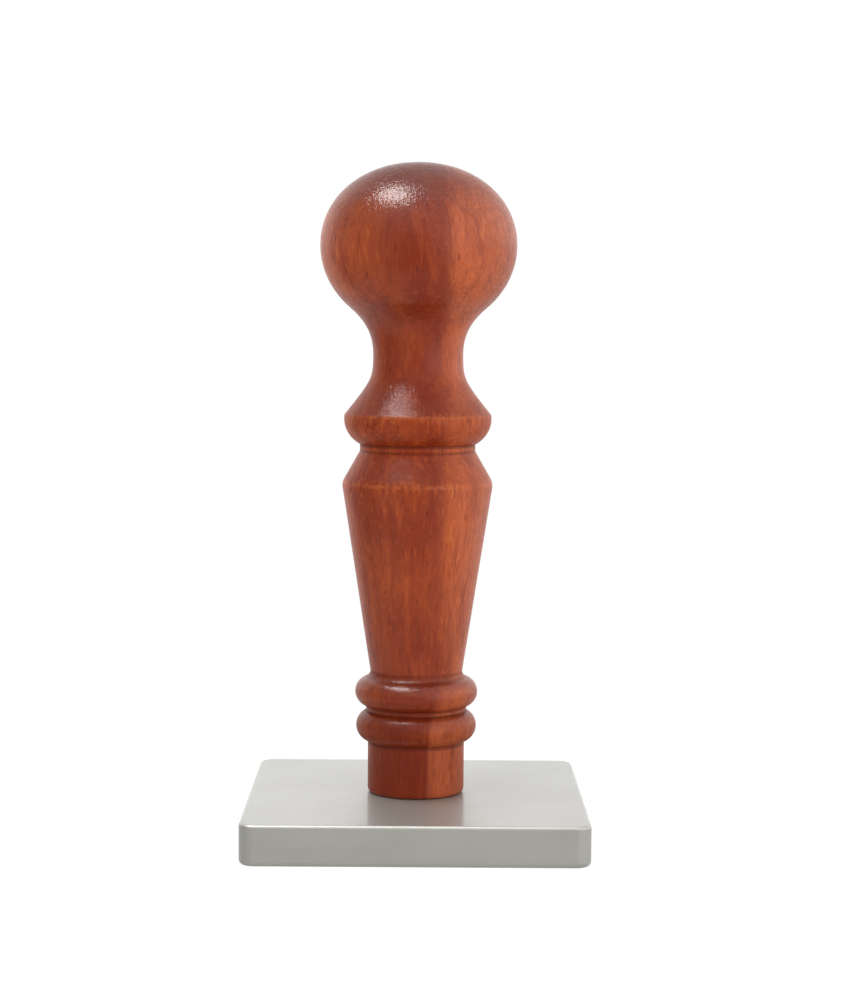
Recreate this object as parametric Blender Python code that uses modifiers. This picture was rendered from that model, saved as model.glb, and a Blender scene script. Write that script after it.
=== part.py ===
"""Wax seal stamp: a turned hardwood handle that screws onto a square metal seal plate.

Lengths are in metres and +Z is up. The origin is the middle of the plate's engraved underside, on which
the stamp stands. A steel stud stands in the plate's tapped hole, and the brass insert in the handle's foot
screws onto the stud. Outlines of turned pieces are half sections, as points of (radius, height).
"""

import math

import bmesh
import bpy
from mathutils import Matrix, Vector

MM = 0.001

# Clearance kept between neighbouring pieces
GAP = 0.3 * MM

# Seal plate
PLATE_SIDE = 40.0 * MM
PLATE_THICKNESS = 4.8 * MM
PLATE_CORNER_RADIUS = 1.8 * MM
PLATE_TOP_ROUND = 0.4 * MM
PLATE_UNDER_ROUND = 0.6 * MM

# Engraving of the plate's underside: a border line, a ring line and a rosette with leaves in the corners
LINE_WIDTH = 0.9 * MM
LINE_DEPTH = 0.5 * MM
BORDER_INSET = 2.6 * MM
RING_SPACE = 2.6 * MM
PETAL_COUNT = 8
PETAL_START = 2.6 * MM
PETAL_SPACE = 1.3 * MM
PETAL_WIDTH = 3.2 * MM
PETAL_DEPTH = 0.7 * MM
DOT_DIAMETER = 1.2 * MM
LEAF_LENGTH = 4.4 * MM
LEAF_WIDTH = 1.9 * MM

# Screw joint: the bores have the thread's full diameter, and the stud is drawn a GAP smaller all round
THREAD_DIAMETER = 6.0 * MM
STUD_IN_PLATE = 3.5 * MM
STUD_IN_HANDLE = 8.0 * MM
STUD_CHAMFER = 0.6 * MM
SOCKET_ACROSS_FLATS = 3.0 * MM
SOCKET_DEPTH = 2.5 * MM
COUNTERSINK = 0.4 * MM

# Threaded insert in the handle's foot
INSERT_DIAMETER = 8.0 * MM
INSERT_LENGTH = 10.0 * MM
INSERT_CHAMFER = 0.35 * MM
WAIST_WIDTH = 1.6 * MM
WAIST_DEPTH = 0.35 * MM
KNURL_COUNT = 30
KNURL_DEPTH = 0.22 * MM
DRIVER_SLOT_WIDTH = 1.2 * MM
DRIVER_SLOT_DEPTH = 1.0 * MM
BORE_SPARE_DEPTH = 1.0 * MM
DRILL_POINT_ANGLE = math.radians(118)

# Handle, from the foot up: diameters and the height of each stretch
FOOT_DIAMETER = 11.6 * MM
FOOT_HEIGHT = 5.95 * MM
FOOT_EDGE_ROUND = 0.5 * MM
LOWER_BEAD_DIAMETER = 14.45 * MM
LOWER_BEAD_ROUND = 1.93 * MM
GROOVE_DIAMETER = 12.05 * MM
GROOVE_HEIGHT = 0.6 * MM
UPPER_BEAD_DIAMETER = 14.7 * MM
UPPER_BEAD_ROUND = 1.77 * MM
GRIP_LOW_DIAMETER = 11.05 * MM
GRIP_HEIGHT = 23.25 * MM
GRIP_FILLET = 0.6 * MM
SHOULDER_DIAMETER = 18.1 * MM
SHOULDER_ROUND = 1.8 * MM
CONE_HEIGHT = 3.8 * MM
RING_DIAMETER = 13.8 * MM
RING_HEIGHT = 0.8 * MM
COLLAR_DIAMETER = 17.6 * MM
COLLAR_UNDERSIDE_HEIGHT = 3.0 * MM
COLLAR_EDGE_HEIGHT = 0.5 * MM
COLLAR_EDGE_ROUND = 0.4 * MM
NECK_DIAMETER = 10.75 * MM
COLLAR_TO_NECK = 7.1 * MM
NECK_TO_KNOB = 13.0 * MM
KNOB_DIAMETER = 23.4 * MM
KNOB_LOWER_HEIGHT = 10.25 * MM
KNOB_UPPER_HEIGHT = 9.75 * MM

# Shape of the handle's curves: how far up a curve its tangents meet, and how closely it hugs that corner
COLLAR_CORNER = 0.34
COLLAR_PULL = 0.61
LOWER_NECK_CORNER = 0.6
LOWER_NECK_PULL = 0.96
UPPER_NECK_PULL = 0.72
KNOB_JOIN = 0.715
KNOB_FULLNESS = 2.08
FILLET_PULL = 0.55

# Steps that round shapes are drawn with
TURN_STEPS = 56
SMALL_ROUND_STEPS = 3
FILLET_STEPS = 4
BEAD_STEPS = 8
CURVE_STEPS = 7
KNOB_LOWER_STEPS = 5
DOME_STEPS = 11
CORNER_STEPS = 6
OVAL_SEGMENTS = 16
OVAL_RINGS = 8
SMOOTH_ANGLE = math.radians(30)

# Two heights closer than this are the same
SAME_HEIGHT = 0.01 * MM

# Heights that several pieces share
STUD_DIAMETER = THREAD_DIAMETER - 2 * GAP
HOLE_DEPTH = STUD_IN_PLATE + GAP
HANDLE_BASE = PLATE_THICKNESS + GAP


def arc(centre, radius, start, end, steps):
    """Points of a circle, with its angles measured from straight outwards."""
    angles = [start + (end - start) * i / steps for i in range(steps + 1)]
    return [(centre[0] + radius * math.cos(a), centre[1] + radius * math.sin(a)) for a in angles]


def curve(start, corner, end, pull, steps):
    """A smooth run from start to end, which leaves and arrives along the lines to the corner."""
    a, c, b = Vector(start), Vector(corner), Vector(end)
    first, second = a.lerp(c, pull), b.lerp(c, pull)
    points = []
    for i in range(steps + 1):
        t = i / steps
        p = (1 - t) ** 3 * a + 3 * t * (1 - t) ** 2 * first + 3 * t ** 2 * (1 - t) * second + t ** 3 * b
        points.append(tuple(p))
    return points


def fillet(before, corner, after, radius, steps):
    """The arc of the given radius that rounds the corner between two straight runs."""
    c = Vector(corner)
    to_before, to_after = (Vector(before) - c).normalized(), (Vector(after) - c).normalized()
    half = to_before.angle(to_after) / 2
    centre = c + (to_before + to_after).normalized() * radius / math.sin(half)
    first = c + to_before * radius / math.tan(half) - centre
    last = c + to_after * radius / math.tan(half) - centre
    turn = first.angle_signed(last)
    return [tuple(centre + Matrix.Rotation(-turn * i / steps, 2) @ first) for i in range(steps + 1)]


def bead(base, widest, rounding, radius_above, steps):
    """A round bead that swells from the base point and ends at the radius of the stretch above it."""
    middle = widest - rounding
    start = -math.acos(min(1, max(0, (base[0] - middle) / rounding)))
    end = math.acos(min(1, max(0, (radius_above - middle) / rounding)))
    return arc((middle, base[1] - rounding * math.sin(start)), rounding, start, end, steps)


def beads_and_foot():
    """The foot and its two beads, from the foot's lower edge up."""
    foot = FOOT_DIAMETER / 2
    groove = GROOVE_DIAMETER / 2
    edge = (foot - FOOT_EDGE_ROUND, FOOT_EDGE_ROUND)
    points = arc(edge, FOOT_EDGE_ROUND, -math.pi / 2, 0, SMALL_ROUND_STEPS)
    points += bead((foot, FOOT_HEIGHT), LOWER_BEAD_DIAMETER / 2, LOWER_BEAD_ROUND, groove, BEAD_STEPS)
    above_groove = (groove, points[-1][1] + GROOVE_HEIGHT)
    fillet_start = GRIP_LOW_DIAMETER / 2 + GRIP_FILLET
    points += bead(above_groove, UPPER_BEAD_DIAMETER / 2, UPPER_BEAD_ROUND, fillet_start, BEAD_STEPS)
    return points


def grip_and_collar(bead_before, bead_end):
    """The tapered grip on the upper bead, its shoulder and cone, the ring and the collar's underside."""
    radius = GRIP_LOW_DIAMETER / 2
    rise = (bead_end[1] - bead_before[1]) / (bead_before[0] - bead_end[0])
    crease = (radius, bead_end[1] + rise * (bead_end[0] - radius))
    low = (radius, crease[1] + GRIP_FILLET)
    shoulder = (SHOULDER_DIAMETER / 2, crease[1] + GRIP_HEIGHT)
    ring = (RING_DIAMETER / 2, shoulder[1] + CONE_HEIGHT)
    underside = (RING_DIAMETER / 2, ring[1] + RING_HEIGHT)
    edge = (COLLAR_DIAMETER / 2, underside[1] + COLLAR_UNDERSIDE_HEIGHT)
    corner = (edge[0], underside[1] + COLLAR_CORNER * COLLAR_UNDERSIDE_HEIGHT)
    points = curve(bead_end, crease, low, FILLET_PULL, SMALL_ROUND_STEPS)[1:]
    points += fillet(low, shoulder, ring, SHOULDER_ROUND, FILLET_STEPS)
    points += [ring]
    points += curve(underside, corner, edge, COLLAR_PULL, CURVE_STEPS)
    return points


def neck_and_knob(collar_edge):
    """The collar's rounded upper edge, the hollow sweep of the neck, and the domed knob up to its top."""
    collar_top = (collar_edge[0], collar_edge[1] + COLLAR_EDGE_HEIGHT)
    neck = (NECK_DIAMETER / 2, collar_top[1] + COLLAR_TO_NECK)
    corner = (neck[0], collar_top[1] + LOWER_NECK_CORNER * COLLAR_TO_NECK)
    points = fillet(collar_edge, collar_top, corner, COLLAR_EDGE_ROUND, SMALL_ROUND_STEPS)
    points += curve(points[-1], corner, neck, LOWER_NECK_PULL, CURVE_STEPS)[1:]

    radius = KNOB_DIAMETER / 2
    middle = neck[1] + NECK_TO_KNOB
    join_angle = math.asin(KNOB_JOIN)
    join = (radius * math.cos(join_angle), middle - KNOB_LOWER_HEIGHT * KNOB_JOIN)
    lean = radius / KNOB_LOWER_HEIGHT * math.tan(join_angle)
    corner = (neck[0], join[1] - (join[0] - neck[0]) / lean)
    points += curve(neck, corner, join, UPPER_NECK_PULL, CURVE_STEPS)[1:]

    for i in range(1, KNOB_LOWER_STEPS + 1):
        a = join_angle * (1 - i / KNOB_LOWER_STEPS)
        points.append((radius * math.cos(a), middle - KNOB_LOWER_HEIGHT * math.sin(a)))
    for i in range(1, DOME_STEPS + 1):
        a = math.pi / 2 * i / DOME_STEPS
        power = 2 / KNOB_FULLNESS
        points.append((radius * math.cos(a) ** power, middle + KNOB_UPPER_HEIGHT * math.sin(a) ** power))
    points[-1] = (0, middle + KNOB_UPPER_HEIGHT)
    return points


def handle_outline():
    """The whole handle from its top down the outside, across the foot and up its drilled bore."""
    points = beads_and_foot()
    points += grip_and_collar(*points[-2:])
    points += neck_and_knob(points[-1])
    bore = INSERT_DIAMETER / 2 + GAP
    depth = INSERT_LENGTH + BORE_SPARE_DEPTH
    drill_point = depth + bore / math.tan(DRILL_POINT_ANGLE / 2)
    return points[::-1] + [(bore, 0), (bore, depth), (0, drill_point)]


def stud_outline():
    """The stud from the top of its axis to the bottom, with both ends chamfered."""
    radius = STUD_DIAMETER / 2
    end = radius - STUD_CHAMFER
    length = STUD_IN_PLATE + GAP + STUD_IN_HANDLE
    upper_end = [(0, length), (end, length), (radius, length - STUD_CHAMFER)]
    lower_end = [(radius, STUD_CHAMFER), (end, 0), (0, 0)]
    return upper_end + lower_end


def insert_outline():
    """The insert's closed wall section: a chamfered tube with a waist between its knurled bands."""
    outer = INSERT_DIAMETER / 2
    bore = THREAD_DIAMETER / 2
    waist_low = (INSERT_LENGTH - WAIST_WIDTH) / 2
    waist_high = (INSERT_LENGTH + WAIST_WIDTH) / 2
    return [
        (bore, INSERT_LENGTH),
        (outer - INSERT_CHAMFER, INSERT_LENGTH),
        (outer, INSERT_LENGTH - INSERT_CHAMFER),
        (outer, waist_high),
        (outer - WAIST_DEPTH, waist_high - WAIST_DEPTH),
        (outer - WAIST_DEPTH, waist_low + WAIST_DEPTH),
        (outer, waist_low),
        (outer, INSERT_CHAMFER),
        (outer - INSERT_CHAMFER, 0),
        (bore, 0),
    ]


def line_outline(radius):
    """The closed diamond section of an engraved line that runs at the given distance from the axis."""
    half = LINE_WIDTH / 2
    return [(radius, LINE_DEPTH), (radius + half, 0), (radius, -LINE_DEPTH), (radius - half, 0)]


def material(name, colour, roughness, metallic):
    finish = bpy.data.materials.new(name)
    finish.use_nodes = True
    shader = finish.node_tree.nodes["Principled BSDF"]
    shader.inputs["Base Color"].default_value = (*colour, 1)
    shader.inputs["Roughness"].default_value = roughness
    shader.inputs["Metallic"].default_value = metallic
    finish.diffuse_color = (*colour, 1)
    return finish


def collection(name):
    group = bpy.data.collections.new(name)
    bpy.context.scene.collection.children.link(group)
    return group


def add_object(name, mesh, group, height=0.0):
    """An object on the stamp's axis, with its origin at the given height."""
    thing = bpy.data.objects.new(name, mesh)
    thing.location = (0, 0, height)
    group.objects.link(thing)
    return thing


def turned(name, outline, group, height=0.0, closed=False, steps=TURN_STEPS):
    """A piece turned about the stamp's axis from its half section."""
    mesh = bpy.data.meshes.new(name)
    edges = [(i, i + 1) for i in range(len(outline) - 1)]
    if closed:
        edges.append((len(outline) - 1, 0))
    mesh.from_pydata([(r, 0, z) for r, z in outline], edges, [])
    thing = add_object(name, mesh, group, height)
    screw = thing.modifiers.new("turning", "SCREW")
    screw.axis = "Z"
    screw.steps = steps
    screw.render_steps = steps
    screw.use_merge_vertices = True
    screw.merge_threshold = 0.001 * MM
    return thing


def shapes(name, group, makers):
    """One object made of several closed shapes, each from a function that adds to a bmesh."""
    build = bmesh.new()
    for make in makers:
        make(build)
    mesh = bpy.data.meshes.new(name)
    build.to_mesh(mesh)
    build.free()
    return add_object(name, mesh, group)


def cut(thing, cutter):
    """Cuts the cutter's shape out of the thing and keeps the cutter as a wire guide."""
    boolean = thing.modifiers.new("cut " + cutter.name, "BOOLEAN")
    boolean.operation = "DIFFERENCE"
    boolean.solver = "EXACT"
    boolean.object = cutter
    cutter.hide_render = True
    cutter.display_type = "WIRE"


def finish(thing, look):
    """Settles the piece's modifiers into its mesh, with smooth round faces and its material."""
    evaluated = thing.evaluated_get(bpy.context.evaluated_depsgraph_get())
    mesh = bpy.data.meshes.new_from_object(evaluated)
    mesh.name = thing.name
    mesh.shade_smooth()
    mesh.set_sharp_from_angle(angle=SMOOTH_ANGLE)
    mesh.materials.clear()
    mesh.materials.append(look)
    thing.modifiers.clear()
    thing.data = mesh


def prism(radius, height, sides, place):
    """A function that adds a regular prism of the given height, moved by the place matrix."""
    def make(build):
        bmesh.ops.create_cone(
            build, cap_ends=True, segments=sides, radius1=radius, radius2=radius, depth=height, matrix=place
        )
    return make


def lens(length, width, depth, distance, angle):
    """A function that adds a flat oval shape, pointing outwards at a distance and angle from the axis."""
    place = Matrix.Rotation(angle, 4, "Z") @ Matrix.Translation((distance, 0, 0))
    size = Matrix.Diagonal((length / 2, width / 2, depth, 1))

    def make(build):
        bmesh.ops.create_uvsphere(
            build, u_segments=OVAL_SEGMENTS, v_segments=OVAL_RINGS, radius=1, matrix=place @ size
        )
    return make


def bevel(build, edges, rounding, steps):
    bmesh.ops.bevel(build, geom=edges, offset=rounding, segments=steps, profile=0.5, affect="EDGES")


def plate_blank(group):
    """The square plate with rounded corners and softened upper and lower edges."""
    build = bmesh.new()
    size = Matrix.Diagonal((PLATE_SIDE, PLATE_SIDE, PLATE_THICKNESS, 1))
    place = Matrix.Translation((0, 0, PLATE_THICKNESS / 2))
    bmesh.ops.create_cube(build, size=1, matrix=place @ size)

    upright = [e for e in build.edges if abs(e.verts[0].co.z - e.verts[1].co.z) > PLATE_THICKNESS / 2]
    bevel(build, upright, PLATE_CORNER_RADIUS, CORNER_STEPS)
    for height, rounding in ((PLATE_THICKNESS, PLATE_TOP_ROUND), (0, PLATE_UNDER_ROUND)):
        rim = [e for e in build.edges if all(abs(v.co.z - height) < SAME_HEIGHT for v in e.verts)]
        bevel(build, rim, rounding, SMALL_ROUND_STEPS)

    mesh = bpy.data.meshes.new("seal_plate")
    build.to_mesh(mesh)
    build.free()
    return add_object("seal_plate", mesh, group)


def seal_plate(group, cutters):
    """The plate with its tapped hole on top and its engraved face underneath."""
    plate = plate_blank(group)
    hole = THREAD_DIAMETER / 2
    floor = PLATE_THICKNESS - HOLE_DEPTH
    above = PLATE_THICKNESS + COUNTERSINK
    cone = [(0, above), (hole + 2 * COUNTERSINK, above), (hole, above - 2 * COUNTERSINK)]
    cut(plate, turned("hole_cutter", cone + [(hole, floor), (0, floor)], cutters))

    border = PLATE_SIDE / 2 - BORDER_INSET
    square = turned("border_cutter", line_outline(border * math.sqrt(2)), cutters, closed=True, steps=4)
    square.rotation_euler.z = math.radians(45)
    cut(plate, square)

    ring = border - RING_SPACE
    cut(plate, turned("ring_cutter", line_outline(ring), cutters, closed=True))

    petal_end = ring - PETAL_SPACE
    petal_length = petal_end - PETAL_START
    petal_middle = (petal_end + PETAL_START) / 2
    turns = [2 * math.pi * i / PETAL_COUNT for i in range(PETAL_COUNT)]
    petals = [lens(petal_length, PETAL_WIDTH, PETAL_DEPTH, petal_middle, turn) for turn in turns]
    cut(plate, shapes("petal_cutter", cutters, petals))

    dot_size = (DOT_DIAMETER, DOT_DIAMETER, DOT_DIAMETER / 2)
    dot_middle = petal_end - DOT_DIAMETER / 2
    dots = [lens(*dot_size, dot_middle, turn + math.pi / PETAL_COUNT) for turn in turns]
    cut(plate, shapes("dot_cutter", cutters, dots))

    leaf_size = (LEAF_LENGTH, LEAF_WIDTH, LINE_DEPTH)
    leaf_middle = (border * math.sqrt(2) + ring) / 2
    leaves = [lens(*leaf_size, leaf_middle, math.radians(corner)) for corner in (45, 135, 225, 315)]
    cut(plate, shapes("leaf_cutter", cutters, leaves))
    return plate


def threaded_stud(group, cutters):
    """The headless stud, with a hexagonal key socket in its upper end."""
    base = PLATE_THICKNESS - STUD_IN_PLATE
    stud = turned("threaded_stud", stud_outline(), group, base)
    top = HANDLE_BASE + STUD_IN_HANDLE
    place = Matrix.Translation((0, 0, top))
    across_corners = SOCKET_ACROSS_FLATS / math.cos(math.pi / 6)
    cut(stud, shapes("socket_cutter", cutters, [prism(across_corners / 2, 2 * SOCKET_DEPTH, 6, place)]))
    return stud


def threaded_insert(group, cutters):
    """The knurled tube in the handle's foot, with a slot for a driver across its lower end."""
    insert = turned("threaded_insert", insert_outline(), group, HANDLE_BASE, closed=True)
    knurls = []
    for i in range(KNURL_COUNT):
        turn = Matrix.Rotation(2 * math.pi * i / KNURL_COUNT, 4, "Z")
        place = Matrix.Translation((INSERT_DIAMETER / 2, 0, HANDLE_BASE + INSERT_LENGTH / 2))
        knurls.append(prism(KNURL_DEPTH, 2 * INSERT_LENGTH, 4, turn @ place))
    cut(insert, shapes("knurl_cutter", cutters, knurls))

    def slot(build):
        size = Matrix.Diagonal((2 * INSERT_DIAMETER, DRIVER_SLOT_WIDTH, 2 * DRIVER_SLOT_DEPTH, 1))
        bmesh.ops.create_cube(build, size=1, matrix=Matrix.Translation((0, 0, HANDLE_BASE)) @ size)

    cut(insert, shapes("slot_cutter", cutters, [slot]))
    return insert


def main():
    for thing in list(bpy.data.objects):
        bpy.data.objects.remove(thing, do_unlink=True)
    stamp = collection("wax_seal_stamp")
    cutters = collection("cutters")

    plate = seal_plate(stamp, cutters)
    finish(plate, material("satin_steel", (0.62, 0.62, 0.60), 0.35, 1.0))

    stud = threaded_stud(stamp, cutters)
    finish(stud, material("zinc_plated_steel", (0.50, 0.51, 0.53), 0.3, 1.0))

    handle = turned("wood_handle", handle_outline(), stamp, HANDLE_BASE)
    finish(handle, material("lacquered_hardwood", (0.27, 0.06, 0.025), 0.35, 0.0))

    insert = threaded_insert(stamp, cutters)
    finish(insert, material("brass", (0.72, 0.50, 0.20), 0.3, 1.0))


main()
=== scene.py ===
"""Looks of the wax seal stamp: lacquered reddish wood, satin metal plate, brass insert and steel stud."""

import math

import bmesh
import bpy
from mathutils import Matrix, Vector, noise


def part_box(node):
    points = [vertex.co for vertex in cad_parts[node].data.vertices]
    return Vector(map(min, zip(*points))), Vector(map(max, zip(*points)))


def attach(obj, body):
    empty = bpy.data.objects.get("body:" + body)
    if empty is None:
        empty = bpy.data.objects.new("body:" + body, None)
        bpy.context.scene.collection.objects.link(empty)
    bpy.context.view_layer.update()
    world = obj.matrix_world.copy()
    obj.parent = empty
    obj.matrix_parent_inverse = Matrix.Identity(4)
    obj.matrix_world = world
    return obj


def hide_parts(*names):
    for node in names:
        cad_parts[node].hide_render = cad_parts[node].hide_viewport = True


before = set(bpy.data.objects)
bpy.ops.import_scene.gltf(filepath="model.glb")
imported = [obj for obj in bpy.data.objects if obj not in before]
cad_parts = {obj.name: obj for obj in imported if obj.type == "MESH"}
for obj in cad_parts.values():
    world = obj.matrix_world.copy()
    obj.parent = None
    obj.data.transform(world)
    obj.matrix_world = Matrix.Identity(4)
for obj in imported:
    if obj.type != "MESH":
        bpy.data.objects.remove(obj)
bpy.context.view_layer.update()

MM = 0.001

# Places taken from the frame
PLATE_LOW, PLATE_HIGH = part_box("seal_plate")
STUD_LOW, STUD_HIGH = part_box("threaded_stud")
INSERT_LOW, INSERT_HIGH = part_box("threaded_insert")
HANDLE_LOW, HANDLE_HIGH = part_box("wood_handle")
PLATE_SIDE = PLATE_HIGH.x - PLATE_LOW.x
PLATE_TOP = PLATE_HIGH.z
INSERT_DIAMETER = INSERT_HIGH.x - INSERT_LOW.x
KNOB_DIAMETER = HANDLE_HIGH.x - HANDLE_LOW.x

# Handle, from the foot up: diameters and the height of each stretch, as the solids have them
FOOT_DIAMETER = 11.6 * MM
FOOT_HEIGHT = 5.95 * MM
FOOT_EDGE_ROUND = 0.5 * MM
LOWER_BEAD_DIAMETER = 14.45 * MM
LOWER_BEAD_ROUND = 1.93 * MM
GROOVE_DIAMETER = 12.05 * MM
GROOVE_HEIGHT = 0.6 * MM
UPPER_BEAD_DIAMETER = 14.7 * MM
UPPER_BEAD_ROUND = 1.77 * MM
GRIP_LOW_DIAMETER = 11.05 * MM
GRIP_HEIGHT = 23.25 * MM
GRIP_FILLET = 0.6 * MM
SHOULDER_DIAMETER = 18.1 * MM
SHOULDER_ROUND = 1.8 * MM
CONE_HEIGHT = 3.8 * MM
RING_DIAMETER = 13.8 * MM
RING_HEIGHT = 0.8 * MM
COLLAR_DIAMETER = 17.6 * MM
COLLAR_UNDERSIDE_HEIGHT = 3.0 * MM
COLLAR_EDGE_HEIGHT = 0.5 * MM
COLLAR_EDGE_ROUND = 0.4 * MM
NECK_DIAMETER = 10.75 * MM
COLLAR_TO_NECK = 7.1 * MM
NECK_TO_KNOB = 13.0 * MM
KNOB_LOWER_HEIGHT = 10.25 * MM

# Shape of the handle's curves: how far up a curve its tangents meet, and how closely it hugs that corner
COLLAR_CORNER = 0.34
COLLAR_PULL = 0.61
LOWER_NECK_CORNER = 0.6
LOWER_NECK_PULL = 0.96
UPPER_NECK_PULL = 0.72
KNOB_JOIN = 0.715
KNOB_FULLNESS = 2.08
FILLET_PULL = 0.55

# Fine surface of the handle
HANDLE_SEAT_GAP = 0.04 * MM
HANDLE_BASE = PLATE_TOP + HANDLE_SEAT_GAP
HANDLE_SIDES = 240
LONGEST_STEP = 0.5 * MM
TURNING_WAVER = 0.012 * MM
WAVERS_PER_METRE = 180
WAVER_STRETCH = 0.6
CREASE_REACH = 0.32 * MM
BORE_SPARE_DEPTH = 1.0 * MM
DRILL_POINT_ANGLE = math.radians(118)
INSERT_SEAT_GAP = 0.03 * MM
HANDLE_SHARP_ANGLE = math.radians(20)

# Screw joint
PITCH = 1.0 * MM
THREAD_CREST = 2.95 * MM
THREAD_ROOT = 2.45 * MM
THREAD_PLAY = 0.04 * MM
INNER_CREST = THREAD_CREST + THREAD_PLAY
INNER_ROOT = THREAD_ROOT + THREAD_PLAY
THREAD_OVERRUN = 0.2
THREAD_SIDES = 96
THREAD_STEP = PITCH / 12
THREAD_SHARP_ANGLE = math.radians(35)
STUD_CHAMFER = 0.6 * MM
SOCKET_ACROSS_FLATS = 3.0 * MM
SOCKET_DEPTH = 2.5 * MM
HOLE_SPARE_DEPTH = 0.3 * MM
COUNTERSINK = 0.4 * MM
KNURLS = 30
KNURL_DEPTH = 0.22 * MM
INSERT_SIDES = 4 * KNURLS
INSERT_CHAMFER = 0.35 * MM
WAIST_WIDTH = 1.6 * MM
WAIST_DEPTH = 0.35 * MM
DRIVER_SLOT_WIDTH = 1.2 * MM
DRIVER_SLOT_DEPTH = 1.0 * MM

# Plate and the engraving of its underside
PLATE_CORNER_RADIUS = 1.8 * MM
PLATE_TOP_ROUND = 0.4 * MM
PLATE_UNDER_ROUND = 0.6 * MM
LINE_WIDTH = 0.9 * MM
LINE_DEPTH = 0.5 * MM
BORDER_INSET = 2.6 * MM
RING_SPACE = 2.6 * MM
PETALS = 8
PETAL_START = 2.6 * MM
PETAL_SPACE = 1.3 * MM
PETAL_WIDTH = 3.2 * MM
PETAL_DEPTH = 0.7 * MM
DOT_DIAMETER = 1.2 * MM
LEAF_LENGTH = 4.4 * MM
LEAF_WIDTH = 1.9 * MM
PLATE_SHARP_ANGLE = math.radians(30)

# Floor: its reach, how far it goes in under the plate, how far below the plate it lies, and its looks
FLOOR_REACH = 100.0 * MM
FLOOR_OVERLAP = 1.2 * MM
FLOOR_DROP = 0.02 * MM
FLOOR_PAINT = (0.6, 0.6, 0.6, 1)
SHOWN_FLOOR_PAINT = (0.35, 0.35, 0.35, 1)
FLOOR_GLOW = 0.88

# Camera, from the photo's perspective
CAMERA_DISTANCE = 280.0 * MM
CAMERA_HEIGHT = 62.2 * MM
CAMERA_SIDE = 0.5 * MM
CAMERA_PITCH = math.radians(4.52)
CAMERA_ROLL = math.radians(0.35)
CAMERA_LENS = 84.4
CAMERA_SENSOR = 36
CAMERA_NEAR = 10.0 * MM

# Lamps
LAMP_TARGET = (0, 0, 40.0 * MM)
GLOSS_TARGET = (0, 0, 75.0 * MM)
SOFT_LAMP_SIZE = (0.5, 0.5)
GLOSS_LAMP_SIZE = (0.27, 0.17)

# Lacquer on the wood, and the smooth sheen of the plate
COAT_ROUGHNESS = 0.15
COAT_INDEX = 1.5

# Broad ribbons in the wood, in millimetres across the grain
RIBBON_WIDTH = 20.0
RIBBON_SHIFT = 0.75


def arc(centre, radius, start, end, steps):
    """Points of a circle, with its angles measured from straight outwards."""
    angles = [start + (end - start) * i / steps for i in range(steps + 1)]
    return [(centre[0] + radius * math.cos(a), centre[1] + radius * math.sin(a)) for a in angles]


def curve(start, corner, end, pull, steps):
    """A smooth run from start to end, which leaves and arrives along the lines to the corner."""
    a, c, b = Vector(start), Vector(corner), Vector(end)
    first, second = a.lerp(c, pull), b.lerp(c, pull)
    points = []
    for i in range(steps + 1):
        t = i / steps
        p = (1 - t) ** 3 * a + 3 * t * (1 - t) ** 2 * first + 3 * t ** 2 * (1 - t) * second + t ** 3 * b
        points.append(tuple(p))
    return points


def fillet(before, corner, after, radius, steps):
    """The arc of the given radius that rounds the corner between two straight runs."""
    c = Vector(corner)
    to_before, to_after = (Vector(before) - c).normalized(), (Vector(after) - c).normalized()
    half = to_before.angle(to_after) / 2
    centre = c + (to_before + to_after).normalized() * radius / math.sin(half)
    first = c + to_before * radius / math.tan(half) - centre
    last = c + to_after * radius / math.tan(half) - centre
    turn = first.angle_signed(last)
    return [tuple(centre + Matrix.Rotation(-turn * i / steps, 2) @ first) for i in range(steps + 1)]


def bead(base, widest, rounding, radius_above, steps):
    """A round bead that swells from the base point and ends at the radius of the stretch above it."""
    middle = widest - rounding
    start = -math.acos(min(1, max(0, (base[0] - middle) / rounding)))
    end = math.acos(min(1, max(0, (radius_above - middle) / rounding)))
    return arc((middle, base[1] - rounding * math.sin(start)), rounding, start, end, steps)


def beads_and_foot():
    """The foot and its two beads, from the foot's lower edge up."""
    foot = FOOT_DIAMETER / 2
    groove = GROOVE_DIAMETER / 2
    edge = (foot - FOOT_EDGE_ROUND, FOOT_EDGE_ROUND)
    points = arc(edge, FOOT_EDGE_ROUND, -math.pi / 2, 0, 8)
    points += bead((foot, FOOT_HEIGHT), LOWER_BEAD_DIAMETER / 2, LOWER_BEAD_ROUND, groove, 32)
    above_groove = (groove, points[-1][1] + GROOVE_HEIGHT)
    fillet_start = GRIP_LOW_DIAMETER / 2 + GRIP_FILLET
    points += bead(above_groove, UPPER_BEAD_DIAMETER / 2, UPPER_BEAD_ROUND, fillet_start, 32)
    return points


def grip_and_collar(bead_before, bead_end):
    """The tapered grip, its cone, the ring and the collar's underside; and the corner at the shoulder."""
    radius = GRIP_LOW_DIAMETER / 2
    rise = (bead_end[1] - bead_before[1]) / (bead_before[0] - bead_end[0])
    crease = (radius, bead_end[1] + rise * (bead_end[0] - radius))
    low = (radius, crease[1] + GRIP_FILLET)
    shoulder = (SHOULDER_DIAMETER / 2, crease[1] + GRIP_HEIGHT)
    ring = (RING_DIAMETER / 2, shoulder[1] + CONE_HEIGHT)
    underside = (RING_DIAMETER / 2, ring[1] + RING_HEIGHT)
    edge = (COLLAR_DIAMETER / 2, underside[1] + COLLAR_UNDERSIDE_HEIGHT)
    corner = (edge[0], underside[1] + COLLAR_CORNER * COLLAR_UNDERSIDE_HEIGHT)
    points = curve(bead_end, crease, low, FILLET_PULL, 8)[1:]
    points += fillet(low, shoulder, ring, SHOULDER_ROUND, 12)
    points += [ring]
    points += curve(underside, corner, edge, COLLAR_PULL, 24)
    return points, shoulder


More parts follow.
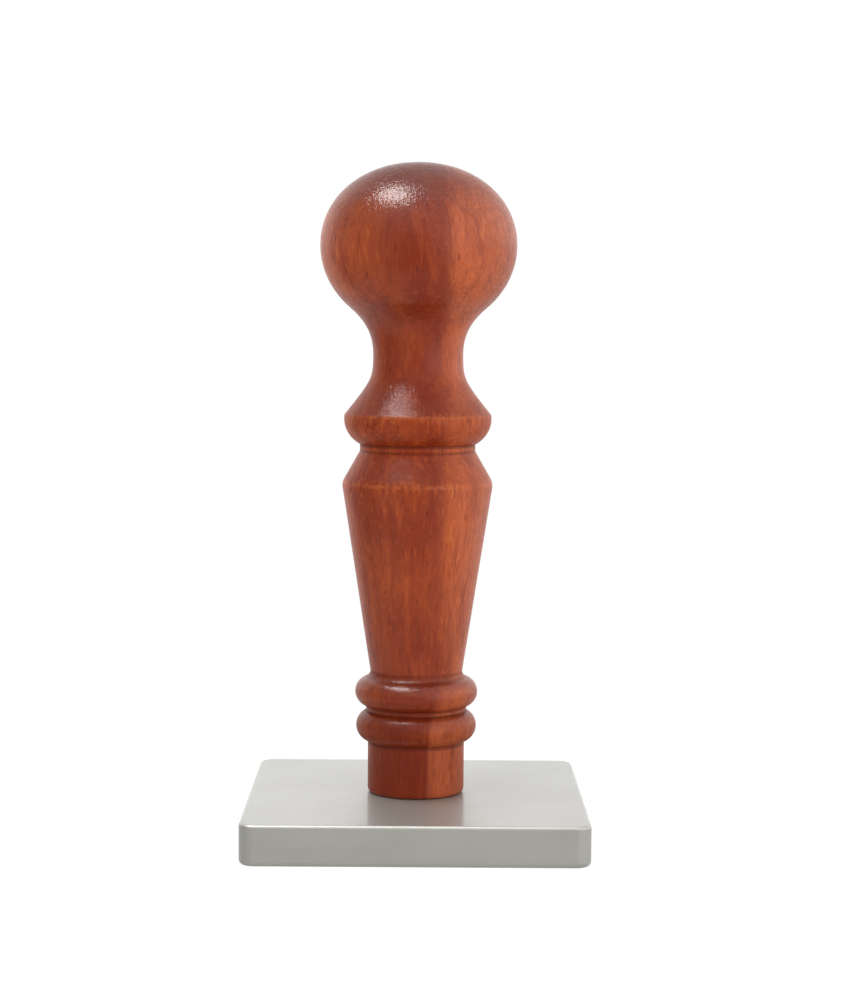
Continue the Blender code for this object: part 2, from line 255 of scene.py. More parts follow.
def neck_and_knob(collar_edge):
    """The hollow sweep of the neck and the domed knob, up from the collar's upper edge; and that edge."""
    collar_top = (collar_edge[0], collar_edge[1] + COLLAR_EDGE_HEIGHT)
    neck = (NECK_DIAMETER / 2, collar_top[1] + COLLAR_TO_NECK)
    corner = (neck[0], collar_top[1] + LOWER_NECK_CORNER * COLLAR_TO_NECK)
    points = fillet(collar_edge, collar_top, corner, COLLAR_EDGE_ROUND, 10)
    points += curve(points[-1], corner, neck, LOWER_NECK_PULL, 36)[1:]

    radius = KNOB_DIAMETER / 2
    middle = neck[1] + NECK_TO_KNOB
    upper_height = HANDLE_HIGH.z - HANDLE_LOW.z - middle
    join_angle = math.asin(KNOB_JOIN)
    join = (radius * math.cos(join_angle), middle - KNOB_LOWER_HEIGHT * KNOB_JOIN)
    lean = radius / KNOB_LOWER_HEIGHT * math.tan(join_angle)
    corner = (neck[0], join[1] - (join[0] - neck[0]) / lean)
    points += curve(neck, corner, join, UPPER_NECK_PULL, 36)[1:]

    lower_steps = 24
    for i in range(1, lower_steps + 1):
        a = join_angle * (1 - i / lower_steps)
        points.append((radius * math.cos(a), middle - KNOB_LOWER_HEIGHT * math.sin(a)))
    upper_steps = 72
    for i in range(1, upper_steps):
        a = math.pi / 2 * i / upper_steps
        power = 2 / KNOB_FULLNESS
        points.append((radius * math.cos(a) ** power, middle + upper_height * math.sin(a) ** power))
    points.append((0, middle + upper_height))
    return points, collar_top


def handle_outline():
    """The handle's outer half section above the foot's base, in short steps, and the edges that wear."""
    lower = beads_and_foot()
    grip, shoulder = grip_and_collar(*lower[-2:])
    top, collar_top = neck_and_knob(grip[-1])
    split = [Vector(lower[0])]
    for point in (lower + grip + top)[1:]:
        start, end = split[-1], Vector(point)
        parts = math.ceil((end - start).length / LONGEST_STEP)
        split += [start.lerp(end, (i + 1) / parts) for i in range(parts)]
    return split, [Vector((FOOT_DIAMETER / 2, 0)), Vector(shoulder), Vector(collar_top)]


def creases(outline):
    """How far the outline turns outwards near each point, in radians."""
    lengths = [0]
    for a, b in zip(outline, outline[1:]):
        lengths.append(lengths[-1] + (b - a).length)

    def at(length):
        i = 0
        while i < len(lengths) - 2 and lengths[i + 1] < length:
            i += 1
        share = (length - lengths[i]) / max(lengths[i + 1] - lengths[i], 0.001 * MM)
        return outline[i].lerp(outline[i + 1], min(1, max(0, share)))

    turns = []
    for length, point in zip(lengths, outline):
        before = point - at(length - CREASE_REACH)
        after = at(length + CREASE_REACH) - point
        if before.length < CREASE_REACH / 4 or after.length < CREASE_REACH / 4:
            turns.append(0)
        else:
            turns.append(max(0, before.angle_signed(after)))
    return turns


def new_object(name, data):
    """An object in the scene that holds the mesh, lamp or camera."""
    thing = bpy.data.objects.new(name, data)
    bpy.context.scene.collection.objects.link(thing)
    return thing


def mesh_of(build, name):
    """Ends the build and gives its mesh."""
    mesh = bpy.data.meshes.new(name)
    build.to_mesh(mesh)
    build.free()
    return mesh


def grid_mesh(name, rows, close_rows=False):
    """A mesh through rows of points round the axis; a row of one point is a pole."""
    build = bmesh.new()
    made = [[build.verts.new(p) for p in row] for row in rows]
    pairs = list(zip(made, made[1:]))
    if close_rows:
        pairs.append((made[-1], made[0]))
    for low, high in pairs:
        count = max(len(low), len(high))
        for i in range(count):
            k = (i + 1) % count
            corners = [low[i % len(low)], low[k % len(low)], high[k % len(high)], high[i % len(high)]]
            build.faces.new(list(dict.fromkeys(corners)))
    bmesh.ops.recalc_face_normals(build, faces=build.faces)
    mesh = mesh_of(build, name)
    mesh.shade_smooth()
    return mesh


def ring_of_points(sides, height, radius_at):
    """One row of points at the given height, with a radius for each angle."""
    angles = [2 * math.pi * i / sides for i in range(sides)]
    return [Vector((radius_at(a) * math.cos(a), radius_at(a) * math.sin(a), height)) for a in angles]


def make_handle():
    """The turned handle with a slight waver from the lathe, its bore, and marks for worn edges and for
    creases, which get painted shade.
    """
    lift = HANDLE_LOW.z - HANDLE_BASE
    bore = INSERT_DIAMETER / 2 + INSERT_SEAT_GAP
    bore_top = INSERT_HIGH.z + BORE_SPARE_DEPTH
    drill_point = bore_top + bore / math.tan(DRILL_POINT_ANGLE / 2)
    rows = [[Vector((0, 0, drill_point))]]
    for height in (bore_top, HANDLE_BASE):
        rows.append(ring_of_points(HANDLE_SIDES, height, lambda a: bore))
    from_edge = [PLATE_SIDE for row in rows for p in row]
    crease = [0 for row in rows for p in row]

    outline, edges = handle_outline()
    for (r, z), turn in zip(outline, creases(outline)):
        height = HANDLE_LOW.z + z - lift * max(0, 1 - z / FOOT_HEIGHT)
        row = ring_of_points(HANDLE_SIDES, height, lambda a: r) if r > 0 else [Vector((0, 0, height))]
        for p in row:
            spot = Vector((p.x, p.y, p.z * WAVER_STRETCH)) * WAVERS_PER_METRE
            waver = noise.noise(spot) * TURNING_WAVER
            p.xy *= 1 + waver / max(r, MM)
        rows.append(row)
        from_edge += [min((Vector((r, z)) - edge).length for edge in edges) for p in row]
        crease += [turn for p in row]

    mesh = grid_mesh("turned_handle", rows)
    mesh.set_sharp_from_angle(angle=HANDLE_SHARP_ANGLE)
    for name, values in (("from_edge", from_edge), ("crease", crease)):
        mesh.attributes.new(name, "FLOAT", "POINT").data.foreach_set("value", values)
    return new_object("turned_handle", mesh)


def thread(angle, height, crest, root):
    """Radius of a right-hand thread, whose slopes are cut off flat at its crest and root."""
    phase = (height / PITCH - angle / (2 * math.pi)) % 1
    rise = abs(2 * phase - 1) * (1 + 2 * THREAD_OVERRUN) - THREAD_OVERRUN
    return root + (crest - root) * min(1, max(0, rise))


def inner_thread(angle, height):
    """Radius of the thread inside the insert and the plate, which has some play on the stud."""
    return thread(angle, height, INNER_CREST, INNER_ROOT)


def heights(low, high, step):
    """Evenly spaced heights from low to high, at most a step apart."""
    count = math.ceil((high - low) / step)
    return [low + (high - low) * i / count for i in range(count + 1)]


def make_stud():
    """The threaded stud with chamfered ends and a key socket."""
    def outside(angle, z):
        from_end = min(z - STUD_LOW.z, STUD_HIGH.z - z)
        limit = THREAD_CREST - max(0, STUD_CHAMFER - from_end)
        return min(limit, thread(angle, z, THREAD_CREST, THREAD_ROOT))

    rows = [[Vector((0, 0, STUD_LOW.z))]]
    for z in heights(STUD_LOW.z, STUD_HIGH.z, THREAD_STEP):
        rows.append(ring_of_points(THREAD_SIDES, z, lambda a: outside(a, z)))
    rows.append([Vector((0, 0, STUD_HIGH.z))])
    stud = new_object("stud_thread", grid_mesh("stud_thread", rows))
    across_corners = SOCKET_ACROSS_FLATS / math.cos(math.pi / 6)
    place = Matrix.Translation((0, 0, STUD_HIGH.z))
    cut(stud, [prism(across_corners / 2, 2 * SOCKET_DEPTH, 6, place)])
    settle(stud, THREAD_SHARP_ANGLE)
    return stud


def make_insert():
    """The knurled brass insert with its inner thread, waist, chamfers and driver slot."""
    outer = INSERT_DIAMETER / 2
    low, high = INSERT_LOW.z, INSERT_HIGH.z
    middle = (low + high) / 2

    def outside(angle, z):
        from_end = min(z - HANDLE_BASE, high - z)
        ridge = abs((angle * KNURLS / (2 * math.pi)) % 1 * 2 - 1)
        radius = outer - KNURL_DEPTH * ridge
        waist = outer - WAIST_DEPTH + max(0, abs(z - middle) - WAIST_WIDTH / 2)
        return min(radius, max(waist, outer - WAIST_DEPTH), outer - max(0, INSERT_CHAMFER - from_end))

    levels = heights(HANDLE_BASE, high, THREAD_STEP)
    rows = [ring_of_points(INSERT_SIDES, z, lambda a: outside(a, z)) for z in levels]
    for z in reversed(levels):
        mouth = INNER_CREST - max(0, min(z - HANDLE_BASE, high - z) - INSERT_CHAMFER)
        rows.append(ring_of_points(INSERT_SIDES, z, lambda a: max(mouth, inner_thread(a, z))))
    insert = new_object("insert_body", grid_mesh("insert_body", rows, close_rows=True))
    size = Matrix.Diagonal((2 * INSERT_DIAMETER, DRIVER_SLOT_WIDTH, 2 * DRIVER_SLOT_DEPTH, 1))
    cut(insert, [block(Matrix.Translation((0, 0, HANDLE_BASE)) @ size)])
    settle(insert, THREAD_SHARP_ANGLE)
    return insert


def prism(radius, height, sides, place):
    """A function that adds a regular prism of the given height, moved by the place matrix."""
    def make(build):
        bmesh.ops.create_cone(
            build, cap_ends=True, segments=sides,
            radius1=radius, radius2=radius, depth=height, matrix=place,
        )
    return make


def block(place):
    """A function that adds a unit cube, stretched and moved by the place matrix."""
    def make(build):
        bmesh.ops.create_cube(build, size=1, matrix=place)
    return make


def lens(length, width, depth, distance, angle):
    """A function that adds a flat oval shape, pointing outwards at a distance and angle from the axis."""
    place = Matrix.Rotation(angle, 4, "Z") @ Matrix.Translation((distance, 0, 0))
    size = Matrix.Diagonal((length / 2, width / 2, depth, 1))

    def make(build):
        bmesh.ops.create_uvsphere(build, u_segments=40, v_segments=20, radius=1, matrix=place @ size)
    return make


def engraved_line(radius, steps):
    """A function that adds a ring of diamond section; with four steps it is a square along X and Y."""
    def make(build):
        half = LINE_WIDTH / 2
        section = [(radius, LINE_DEPTH), (radius + half, 0), (radius, -LINE_DEPTH), (radius - half, 0)]
        rings = []
        for i in range(steps):
            a = 2 * math.pi * (i + 0.5) / steps
            rings.append([build.verts.new((r * math.cos(a), r * math.sin(a), z)) for r, z in section])
        for near, far in zip(rings, rings[1:] + rings[:1]):
            for j in range(4):
                k = (j + 1) % 4
                build.faces.new((near[j], near[k], far[k], far[j]))
        bmesh.ops.recalc_face_normals(build, faces=build.faces)
    return make


def cut(thing, makers):
    """Cuts the shapes that the makers add out of the thing."""
    build = bmesh.new()
    for make in makers:
        make(build)
    cut_by(thing, new_object("cutter", mesh_of(build, "cutter")))


def cut_by(thing, cutter):
    """Cuts the cutter out of the thing, and removes the cutter."""
    boolean = thing.modifiers.new("cut", "BOOLEAN")
    boolean.operation = "DIFFERENCE"
    boolean.solver = "EXACT"
    boolean.object = cutter
    evaluated = thing.evaluated_get(bpy.context.evaluated_depsgraph_get())
    thing.data = bpy.data.meshes.new_from_object(evaluated)
    thing.modifiers.clear()
    bpy.data.objects.remove(cutter, do_unlink=True)


def settle(thing, angle):
    """Smooth shading with sharp edges above the angle, and normals that keep flat faces flat."""
    thing.data.shade_smooth()
    thing.data.set_sharp_from_angle(angle=angle)
    weighted = thing.modifiers.new("flat faces", "WEIGHTED_NORMAL")
    weighted.keep_sharp = True
    weighted.weight = 100


def bevel(build, edges, rounding, steps):
    """Rounds the edges, with the given number of faces across each of them."""
    bmesh.ops.bevel(build, geom=edges, offset=rounding, segments=steps, profile=0.5, affect="EDGES")


def plate_blank():
    """The square plate with rounded corners and softened upper and lower edges."""
    build = bmesh.new()
    thickness = PLATE_HIGH.z - PLATE_LOW.z
    size = Matrix.Diagonal((PLATE_SIDE, PLATE_SIDE, thickness, 1))
    bmesh.ops.create_cube(build, size=1, matrix=Matrix.Translation((0, 0, thickness / 2)) @ size)
    upright = [e for e in build.edges if abs(e.verts[0].co.z - e.verts[1].co.z) > thickness / 2]
    bevel(build, upright, PLATE_CORNER_RADIUS, 16)
    for height, rounding in ((thickness, PLATE_TOP_ROUND), (0, PLATE_UNDER_ROUND)):
        rim = [e for e in build.edges if all(abs(v.co.z - height) < 0.01 * MM for v in e.verts)]
        bevel(build, rim, rounding, 6)
    return new_object("engraved_plate", mesh_of(build, "engraved_plate"))


def tap_hole(plate):
    """Cuts the threaded hole and its countersink into the plate's top."""
    floor = STUD_LOW.z - HOLE_SPARE_DEPTH
    rows = [[Vector((0, 0, floor))]]
    for z in heights(floor, PLATE_TOP + COUNTERSINK, THREAD_STEP):
        sink = INNER_CREST + z - PLATE_TOP if z > PLATE_TOP - COUNTERSINK else 0
        rows.append(ring_of_points(THREAD_SIDES, z, lambda a: max(sink, inner_thread(a, z))))
    rows.append([Vector((0, 0, PLATE_TOP + COUNTERSINK))])
    cut_by(plate, new_object("hole", grid_mesh("hole", rows)))


def make_plate():
    """The plate with its tapped hole and with its underside engraved."""
    plate = plate_blank()
    tap_hole(plate)

    border = PLATE_SIDE / 2 - BORDER_INSET
    ring = border - RING_SPACE
    cut(plate, [engraved_line(border * math.sqrt(2), 4)])
    cut(plate, [engraved_line(ring, 128)])

    petal_end = ring - PETAL_SPACE
    length = petal_end - PETAL_START
    middle = (petal_end + PETAL_START) / 2
    turns = [2 * math.pi * i / PETALS for i in range(PETALS)]
    cut(plate, [lens(length, PETAL_WIDTH, PETAL_DEPTH, middle, turn) for turn in turns])

    dot = DOT_DIAMETER
    cut(plate, [lens(dot, dot, dot / 2, petal_end - dot / 2, turn + math.pi / PETALS) for turn in turns])

    middle = (border * math.sqrt(2) + ring) / 2
    corners = [math.radians(45 + 90 * i) for i in range(4)]
    cut(plate, [lens(LEAF_LENGTH, LEAF_WIDTH, LINE_DEPTH, middle, corner) for corner in corners])
    settle(plate, PLATE_SHARP_ANGLE)
    return plate


class Nodes:
    """Short calls to add and link the nodes of one material or world."""

    def __init__(self, tree):
        self.tree = tree

    def link(self, value, socket):
        """Links an output to the socket, or sets the socket to a plain value."""
        if isinstance(value, bpy.types.NodeSocket):
            self.tree.links.new(value, socket)
        else:
            socket.default_value = value

    def add(self, kind, inputs=None, **settings):
        """A new node with its settings, and with its inputs linked or set."""
        node = self.tree.nodes.new(kind)
        for key, value in settings.items():
            setattr(node, key, value)
        for key, value in (inputs or {}).items():
            self.link(value, node.inputs[key])
        return node

    def place(self, scale, shift=(0, 0, 0)):
        """The piece's own coordinates in millimetres, times the scale."""
        where = self.add("ShaderNodeTexCoord").outputs["Object"]
        size = tuple(s / MM for s in scale)
        inputs = {"Vector": where, "Scale": size, "Location": shift}
        return self.add("ShaderNodeMapping", inputs).outputs[0]

    def noise(self, vector, detail=3.0, roughness=0.5):
        inputs = {"Vector": vector, "Scale": 1.0, "Detail": detail, "Roughness": roughness}
        return self.add("ShaderNodeTexNoise", inputs).outputs["Fac"]

    def maths(self, operation, a, b=0.0):
        return self.add("ShaderNodeMath", {0: a, 1: b}, operation=operation).outputs[0]

    def vector(self, operation, a, b):
        """Maths on vectors; the factor of SCALE goes to the fourth input."""
        key = 3 if operation == "SCALE" else 1
        return self.add("ShaderNodeVectorMath", {0: a, key: b}, operation=operation).outputs

    def spread(self, value, low, high, to_low=0.0, to_high=1.0):
        """A smooth change from one value to another while the input goes from low to high."""
        inputs = {"Value": value, "From Min": low, "From Max": high, "To Min": to_low, "To Max": to_high}
        return self.add("ShaderNodeMapRange", inputs, interpolation_type="SMOOTHSTEP").outputs[0]

    def mix(self, share, a, b):
        node = self.add("ShaderNodeMix", data_type="RGBA")
        colours = [s for s in node.inputs if s.type == "RGBA"]
        self.link(share, node.inputs[0])
        self.link(a, colours[0])
        self.link(b, colours[1])
        return [s for s in node.outputs if s.type == "RGBA"][0]

    def bump(self, height, distance, strength=1.0, normal=None):
        inputs = {"Height": height, "Distance": distance, "Strength": strength}
        if normal:
            inputs["Normal"] = normal
        return self.add("ShaderNodeBump", inputs).outputs[0]


class Finish(Nodes):
    """The nodes of a material with a Principled shader."""

    def __init__(self, name):
        self.material = bpy.data.materials.new(name)
        self.material.use_nodes = True
        super().__init__(self.material.node_tree)
        self.shader = self.tree.nodes["Principled BSDF"]

    def set(self, **values):
        for key, value in values.items():
            self.link(value, self.shader.inputs[key.replace("_", " ")])


def rgb(red, green, blue):
    """A colour given as the eye sees it on a screen, from 0 to 255."""
    def linear(value):
        share = value / 255
        return share / 12.92 if share < 0.04045 else ((share + 0.055) / 1.055) ** 2.4
    return (linear(red), linear(green), linear(blue), 1)


# Colours of the wood, before lamps and lacquer
DARK_RIBBON = rgb(122, 42, 18)
LIT_RIBBON = rgb(176, 87, 52)
PALE_AREA = rgb(162, 72, 30)
DARK_AREA = rgb(120, 38, 16)
PALE_STREAK = rgb(176, 82, 36)
DARK_STREAK = rgb(108, 40, 18)
DARK_FIBRE = rgb(92, 32, 16)
ORANGE_FLECK = rgb(200, 106, 46)
# Painted shade for the foot, for faces that look up, and for the neck and knob
FOOT_PAINTED_SHADE = rgb(76, 8, 0)
UPWARD_PAINTED_SHADE = rgb(104, 34, 18)
NECK_PAINTED_SHADE = rgb(96, 26, 12)
DARK_PORE = rgb(70, 20, 12)
WORN_WOOD = rgb(206, 112, 60)
# Painted shade for the creases
CREASE_PAINTED_SHADE = rgb(70, 20, 8)


def lacquered_wood():
    """Reddish wood with ribbons, streaks and short dark pores under lacquer, paler at worn edges, with
    painted shade on the foot, on faces that look up, on the neck and knob, and in creases.
    """
    n = Finish("lacquered_wood")
    slow = n.place((0.05, 0.05, 0.022))
    bend = n.add("ShaderNodeTexNoise", {"Vector": slow, "Scale": 1.0, "Detail": 2.0})
    sway = n.vector("SUBTRACT", bend.outputs["Color"], (0.5, 0.5, 0.5))[0]

    def grain(across, along, shift=(0, 0, 0), sways=5.0):
        """Coordinates stretched along the grain, which sways by some millimetres."""
        moved = n.vector("SCALE", sway, across * sways)[0]
        return n.vector("ADD", n.place((across, across, along), shift), moved)[0]

    height = n.add("ShaderNodeSeparateXYZ", {0: n.place((1, 1, 1))}).outputs["Z"]
    on_foot = n.spread(height, 12.0, 20.0, 1.0, 0.0)

    # Each ribbon starts lit, most sharply on the foot, and fades to dark, where the next one starts
    across = n.add("ShaderNodeSeparateXYZ", {0: grain(1 / RIBBON_WIDTH, 0.0, sways=2.5)})
    slant = n.maths("MULTIPLY", across.outputs["Y"], 0.1)
    ribbons = n.maths("ADD", across.outputs["X"], slant)
    ribbon = n.maths("FRACT", n.maths("ADD", ribbons, 1.0 - RIBBON_SHIFT / RIBBON_WIDTH))
    start = n.spread(ribbon, 0.0, n.spread(on_foot, 0.0, 1.0, 0.2, 0.035))
    lit = n.maths("MULTIPLY", start, n.spread(ribbon, 0.1, 0.98, 1.0, 0.0))

    broad = n.noise(grain(0.24, 0.06, (3, 1, 5)), 2.0, 0.5)
    streak = n.noise(grain(0.8, 0.06, (1, 7, 2)), 3.0, 0.55)
    fibre = n.noise(grain(3.6, 0.3), 3.0, 0.6)
    fleck = n.noise(grain(2.6, 0.6, (9, 2, 4)), 2.0, 0.5)

    base = n.mix(lit, DARK_RIBBON, LIT_RIBBON)
    base = n.mix(n.spread(broad, 0.42, 0.68, 0.0, 0.4), base, PALE_AREA)
    base = n.mix(n.spread(broad, 0.34, 0.5, 0.4, 0.0), base, DARK_AREA)
    base = n.mix(n.spread(streak, 0.5, 0.7, 0.0, 0.35), base, PALE_STREAK)
    base = n.mix(n.spread(streak, 0.34, 0.48, 0.35, 0.0), base, DARK_STREAK)
    base = n.mix(n.spread(fibre, 0.36, 0.56, 0.25, 0.0), base, DARK_FIBRE)
    orange = n.maths("MULTIPLY", n.spread(fleck, 0.54, 0.72), n.spread(lit, 0.1, 0.6, 0.12, 0.4))
    base = n.mix(orange, base, ORANGE_FLECK)

    # Painted shade: the wood is darker on the foot in the beads' shade, on faces that look up, and on the
    # neck and knob over the dark part of each ribbon
    # painted shade on the foot, deeper over the dark part of each ribbon
    painted_shade_share = n.maths("MULTIPLY", on_foot, n.spread(lit, 0.0, 1.0, 0.5, 0.3))
    base = n.mix(painted_shade_share, base, FOOT_PAINTED_SHADE)
    # painted shade on faces that look up, set by the direction they face
    facing = n.add("ShaderNodeTexCoord").outputs["Normal"]
    upwards = n.add("ShaderNodeSeparateXYZ", {0: facing}).outputs["Z"]
    base = n.mix(n.spread(upwards, 0.3, 0.85, 0.0, 0.4), base, UPWARD_PAINTED_SHADE)
    # painted shade on the neck and knob, over the dark part of each ribbon
    high = n.spread(height, 50.0, 57.0, 0.0, 0.32)
    painted_shade_share = n.maths("MULTIPLY", high, n.spread(lit, 0.1, 0.6, 1.0, 0.0))
    base = n.mix(painted_shade_share, base, NECK_PAINTED_SHADE)

    # Short dark pores lie in some of the cells of a pattern that is stretched along the grain
    cells = n.add("ShaderNodeTexVoronoi", {"Vector": grain(1.2, 0.26, (2, 5, 1)), "Scale": 1.0})
    chosen = n.spread(cells.outputs["Color"], 0.36, 0.44)
    pore = n.maths("MULTIPLY", n.spread(cells.outputs["Distance"], 0.06, 0.2, 1.0, 0.0), chosen)
    base = n.mix(n.maths("MULTIPLY", pore, 0.55), base, DARK_PORE)

    # The wood is paler at and near its worn edges, and its creases get painted shade
    from_edge = n.add("ShaderNodeAttribute", attribute_name="from_edge").outputs["Fac"]
    crease = n.add("ShaderNodeAttribute", attribute_name="crease").outputs["Fac"]
    ragged = n.spread(n.noise(grain(1.1, 0.8, (4, 4, 8)), 3.0, 0.6), 0.4, 0.62, 0.1, 1.0)
    near = n.spread(from_edge, 0.1 * MM, 0.35 * MM, 0.28, 0.0)
    around = n.spread(from_edge, 0.2 * MM, 1.1 * MM, 0.15, 0.0)
    near = n.maths("MULTIPLY", near, n.spread(on_foot, 0.0, 1.0, 1.0, 0.5))
    around = n.maths("MULTIPLY", around, n.spread(on_foot, 0.0, 1.0, 1.0, 0.0))
    mottled = n.spread(fleck, 0.46, 0.62)
    worn = n.maths("MAXIMUM", n.maths("MULTIPLY", near, ragged), n.maths("MULTIPLY", around, mottled))
    base = n.mix(worn, base, WORN_WOOD)
    # painted shade in the creases
    base = n.mix(n.spread(crease, 0.1, 0.6, 0.0, 0.6), base, CREASE_PAINTED_SHADE)

    # The lacquer is speckled, and thinner on the foot, from the shoulder to the neck, and in creases
    ripple = n.noise(n.place((1.1, 1.1, 1.0)), 2.0, 0.5)
    fine = n.noise(n.place((3.2, 3.2, 2.6)), 2.0, 0.6)
    speck = n.noise(n.place((4.2, 4.2, 3.4)), 1.0, 0.5)
    wood_bump = n.bump(fibre, 0.01 * MM, 0.5)
    coat_bump = n.bump(ripple, 0.06 * MM, 0.8)
    coat_bump = n.bump(fine, 0.08 * MM, 0.8, coat_bump)
    coat_bump = n.bump(n.maths("SUBTRACT", 1.0, pore), 0.02 * MM, 0.6, coat_bump)
    n.set(Base_Color=base, Normal=wood_bump, Coat_Normal=coat_bump)
    n.set(Roughness=n.spread(fibre, 0.3, 0.7, 0.6, 0.48), Specular_IOR_Level=0.05)
    on_slopes = n.maths("MULTIPLY", n.spread(height, 40.0, 43.0), n.spread(height, 54.0, 58.0, 1.0, 0.0))
    thin = n.maths("MAXIMUM", n.maths("MULTIPLY", on_foot, 0.5), n.maths("MULTIPLY", on_slopes, 0.6))
    thin = n.maths("MAXIMUM", thin, n.spread(crease, 0.1, 0.5, 0.0, 0.7))
    least = n.spread(thin, 0.0, 1.0, 0.25, 0.16)
    most = n.spread(thin, 0.0, 1.0, 0.42, 0.02)
    covered = n.spread(speck, 0.36, 0.64, least, most)
    n.set(Coat_Weight=covered, Coat_Roughness=COAT_ROUGHNESS, Coat_IOR=COAT_INDEX)
    return n.material


def satin_metal():
    """Smooth satin silver-grey metal with a faint cloudy tone."""
    n = Finish("satin_plate_metal")
    cloud = n.noise(n.place((0.12, 0.07, 0.2)), 3.0, 0.5)
    base = n.mix(n.spread(cloud, 0.35, 0.65), rgb(149, 148, 141), rgb(153, 152, 146))
    rough = n.spread(cloud, 0.35, 0.65, 0.52, 0.5)
    n.set(Base_Color=base, Roughness=rough, Metallic=0.5)
    n.set(Coat_Weight=0.4, Coat_Roughness=COAT_ROUGHNESS, Coat_IOR=COAT_INDEX)
    return n.material


def machined(name, colour, dull):
    """Bright machined metal with fine turning marks and a slight tarnish in blotches."""
    n = Finish(name)
    turning = n.noise(n.place((0.4, 0.4, 16)), 2.0, 0.5)
    blotch = n.noise(n.place((0.7, 0.7, 0.7)), 3.0, 0.6)
    base = n.mix(n.spread(blotch, 0.35, 0.7), colour, dull)
    n.set(Base_Color=base, Roughness=n.spread(blotch, 0.3, 0.7, 0.22, 0.36), Metallic=1.0)
    n.set(Normal=n.bump(turning, 0.006 * MM, 0.5))
    return n.material


def dress(piece, finish, body, node):
    """Gives a piece its finish and body, and lets it stand for its node."""
    piece.data.materials.clear()
    piece.data.materials.append(finish)
    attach(piece, body)
    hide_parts(node)


def make_floor():
    """A pale floor, open under the plate and clear from below, so that the engraved face can be seen."""
    hole = PLATE_SIDE / 2 - FLOOR_OVERLAP
    build = bmesh.new()
    corners = ((-1, -1), (1, -1), (1, 1), (-1, 1))
    outer = [build.verts.new((x * FLOOR_REACH, y * FLOOR_REACH, -FLOOR_DROP)) for x, y in corners]
    inner = [build.verts.new((x * hole, y * hole, -FLOOR_DROP)) for x, y in corners]
    for i in range(4):
        k = (i + 1) % 4
        build.faces.new((outer[i], outer[k], inner[k], inner[i]))
    floor = new_object("floor", mesh_of(build, "floor"))

    n = Finish("floor_paint")
    paint = n.add("ShaderNodeBsdfDiffuse", {"Color": FLOOR_PAINT})
    shown_paint = n.add("ShaderNodeBsdfDiffuse", {"Color": SHOWN_FLOOR_PAINT})
    glow = n.add("ShaderNodeEmission", {"Color": (1, 1, 1, 1), "Strength": FLOOR_GLOW})
    shown = n.add("ShaderNodeAddShader", {0: shown_paint.outputs[0], 1: glow.outputs[0]})
    ray = n.add("ShaderNodeLightPath").outputs
    seen = n.maths("MAXIMUM", ray["Is Camera Ray"], ray["Is Glossy Ray"])
    side = n.add("ShaderNodeMixShader", {0: seen, 1: paint.outputs[0], 2: shown.outputs[0]})
    below = n.add("ShaderNodeNewGeometry").outputs["Backfacing"]
    clear = n.add("ShaderNodeBsdfTransparent")
    both = n.add("ShaderNodeMixShader", {0: below, 1: side.outputs[0], 2: clear.outputs[0]})
    n.link(both.outputs[0], n.tree.nodes["Material Output"].inputs["Surface"])
    floor.data.materials.append(n.material)


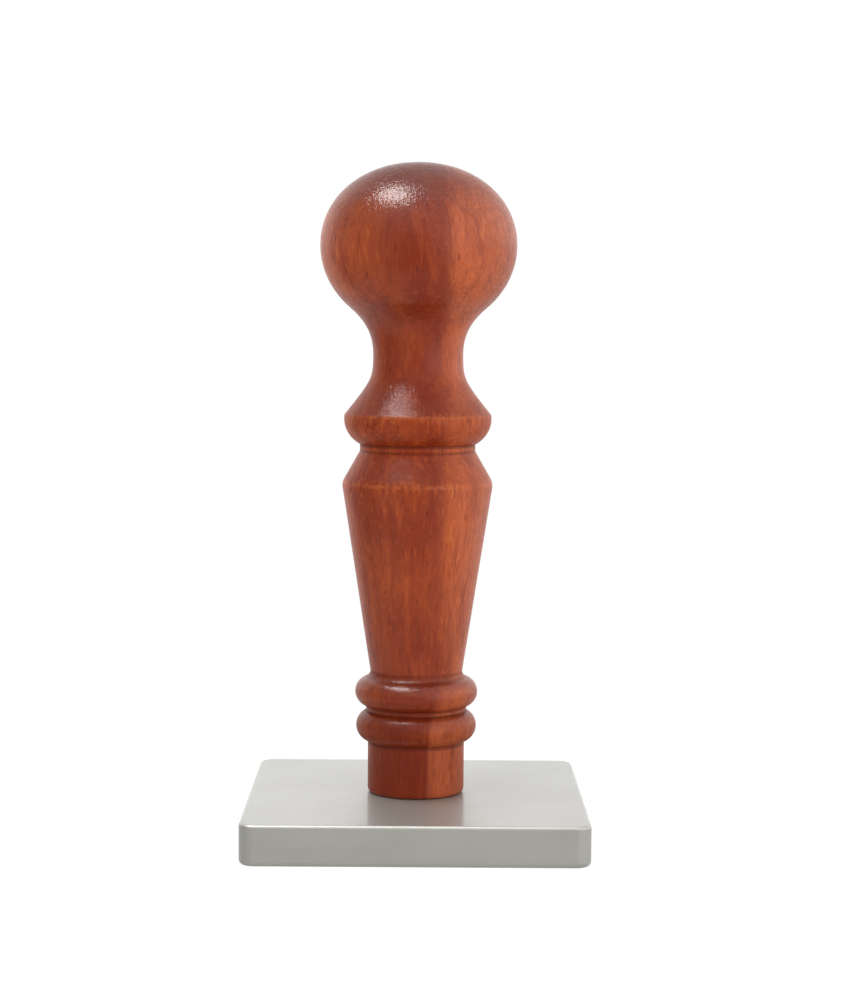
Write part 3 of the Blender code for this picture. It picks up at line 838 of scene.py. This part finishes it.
def make_world():
    """Plain white to the camera, soft light that is dimmer from overhead, and in gloss an uneven room."""
    world = bpy.data.worlds.new("soft room")
    bpy.context.scene.world = world
    world.use_nodes = True
    n = Nodes(world.node_tree)
    towards = n.add("ShaderNodeTexCoord").outputs["Generated"]

    def lobe(direction, edge, full, amount):
        """Light added round a direction, growing from the cosine at its edge to where it is full."""
        closeness = n.vector("DOT_PRODUCT", towards, direction)["Value"]
        return n.spread(closeness, edge, full, 0.0, amount)

    behind = lobe((0, 1, 0.15), 0.2, 0.8, 1.0)
    right = lobe((0.97, -0.25, 0), 0.3, 0.85, 2.0)
    dark_left = lobe((-0.87, -0.5, 0), 0.2, 0.6, -0.26)
    dark_high_behind = lobe((0.05, 0.62, 0.78), 0.8, 0.96, -0.6)
    high_in_front = lobe((-0.1, -0.5, 0.85), 0.6, 0.92, 1.3)
    overhead = lobe((0.3, 0.2, 0.93), 0.75, 0.95, 0.9)
    level = 0.8
    for part in (behind, right, dark_left, dark_high_behind, high_in_front, overhead):
        level = n.maths("ADD", level, part)
    above = n.add("ShaderNodeSeparateXYZ", {0: towards}).outputs["Z"]
    level = n.maths("MULTIPLY", level, n.spread(above, -0.1, 0.12, 0.6, 1.0))
    ray = n.add("ShaderNodeLightPath").outputs
    plain = n.spread(above, 0.0, 0.9, 0.64, 0.16)
    level = n.spread(ray["Is Glossy Ray"], 0.0, 1.0, plain, level)
    background = n.tree.nodes["Background"]
    n.link((1, 1, 1, 1), background.inputs["Color"])
    n.link(n.maths("MAXIMUM", level, ray["Is Camera Ray"]), background.inputs["Strength"])


def area_light(name, place, target, size, watts, in_gloss=False):
    """An oval soft lamp, which either only lights surfaces or only shows as a gloss on them."""
    lamp = bpy.data.lights.new(name, "AREA")
    lamp.shape = "ELLIPSE"
    lamp.size, lamp.size_y = size
    lamp.energy = watts
    thing = new_object(name, lamp)
    thing.location = place
    thing.rotation_euler = (Vector(target) - Vector(place)).to_track_quat("-Z", "Y").to_euler()
    thing.visible_camera = False
    thing.visible_glossy = in_gloss
    thing.visible_diffuse = not in_gloss


def make_camera():
    """The camera at the photo's viewing angle."""
    camera = new_object("camera", bpy.data.cameras.new("camera"))
    camera.data.lens = CAMERA_LENS
    camera.data.sensor_width = CAMERA_SENSOR
    camera.data.clip_start = CAMERA_NEAR
    look = Matrix.Rotation(math.pi / 2 - CAMERA_PITCH, 4, "X") @ Matrix.Rotation(CAMERA_ROLL, 4, "Z")
    camera.matrix_world = Matrix.Translation((CAMERA_SIDE, -CAMERA_DISTANCE, CAMERA_HEIGHT)) @ look
    bpy.context.scene.camera = camera


steel = machined("zinc_steel", rgb(196, 198, 202), rgb(160, 162, 166))
brass = machined("insert_brass", rgb(222, 186, 112), rgb(170, 130, 66))
dress(make_plate(), satin_metal(), "plate", "seal_plate")
dress(make_stud(), steel, "stud", "threaded_stud")
dress(make_handle(), lacquered_wood(), "handle", "wood_handle")
dress(make_insert(), brass, "handle", "threaded_insert")
make_floor()
make_world()
area_light("gloss lamp", (-0.145, -0.055, 0.47), GLOSS_TARGET, GLOSS_LAMP_SIZE, 3.4, in_gloss=True)
area_light("right lamp", (0.36, -0.46, 0.1), LAMP_TARGET, SOFT_LAMP_SIZE, 2.6)
area_light("left lamp", (-0.36, -0.46, 0.06), LAMP_TARGET, SOFT_LAMP_SIZE, 1.5)
area_light("back lamp", (-0.42, 0.4, 0.12), LAMP_TARGET, SOFT_LAMP_SIZE, 1.5)
make_camera()
bpy.context.scene.view_settings.view_transform = "Standard"
